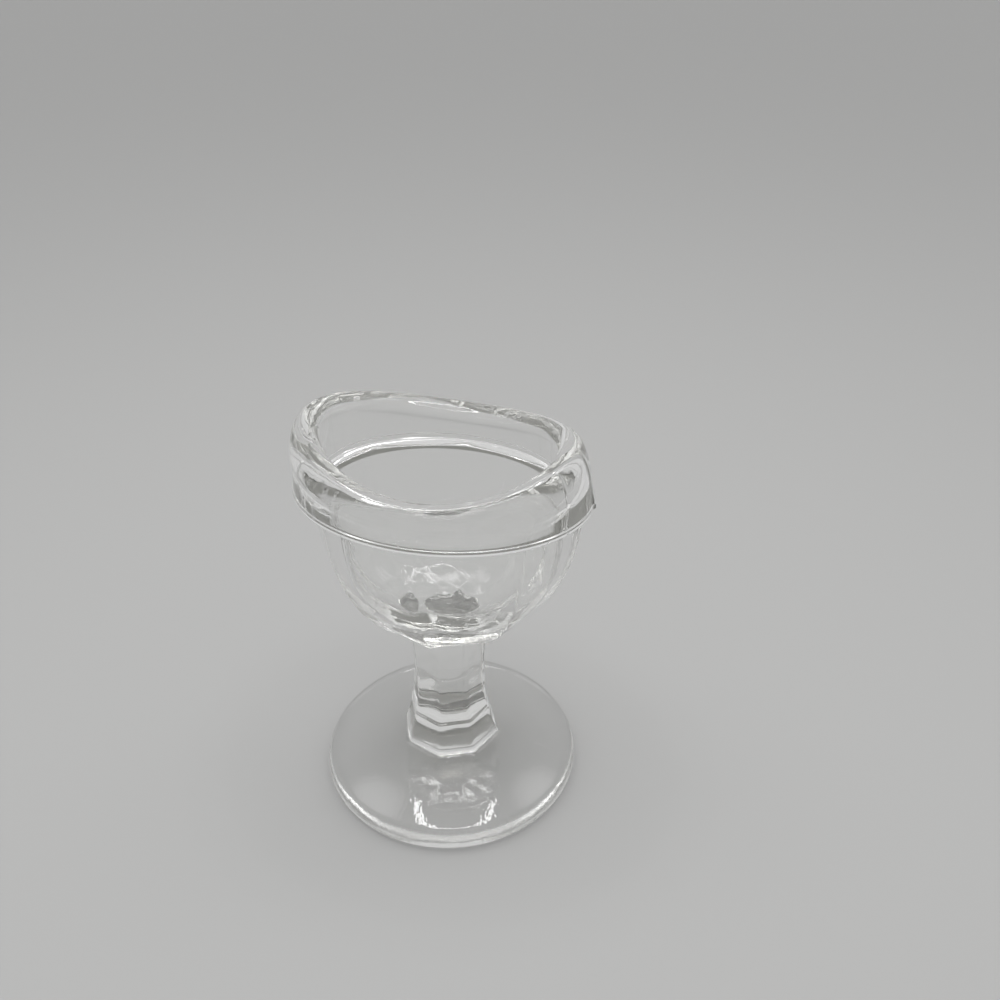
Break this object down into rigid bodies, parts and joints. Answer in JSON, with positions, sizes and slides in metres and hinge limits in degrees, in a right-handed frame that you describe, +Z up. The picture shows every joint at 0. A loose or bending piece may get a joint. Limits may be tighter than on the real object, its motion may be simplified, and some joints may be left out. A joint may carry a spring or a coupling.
{
  "type": "eye bath",
  "caption": "Clear pressed-glass eye bath: an oval cup with a saddle-shaped lip that seals round the eye, on a flat-sided stem and a round domed foot.",
  "frame": {"origin": "centre of the foot's underside, on the table plane", "axes": "+Z up through the stem, +X along the long axis of the oval mouth, +Y along its short axis"},
  "size_m": [0.0424, 0.04, 0.061],
  "materials": {
    "clear_glass": "fire-polished, slightly wavy pressed glass"
  },
  "bodies": {
    "root": {"foot": "clear_glass", "stem_base": "clear_glass", "stem": "clear_glass", "bowl": "clear_glass", "rim": "clear_glass"}
  },
  "joints": []
}
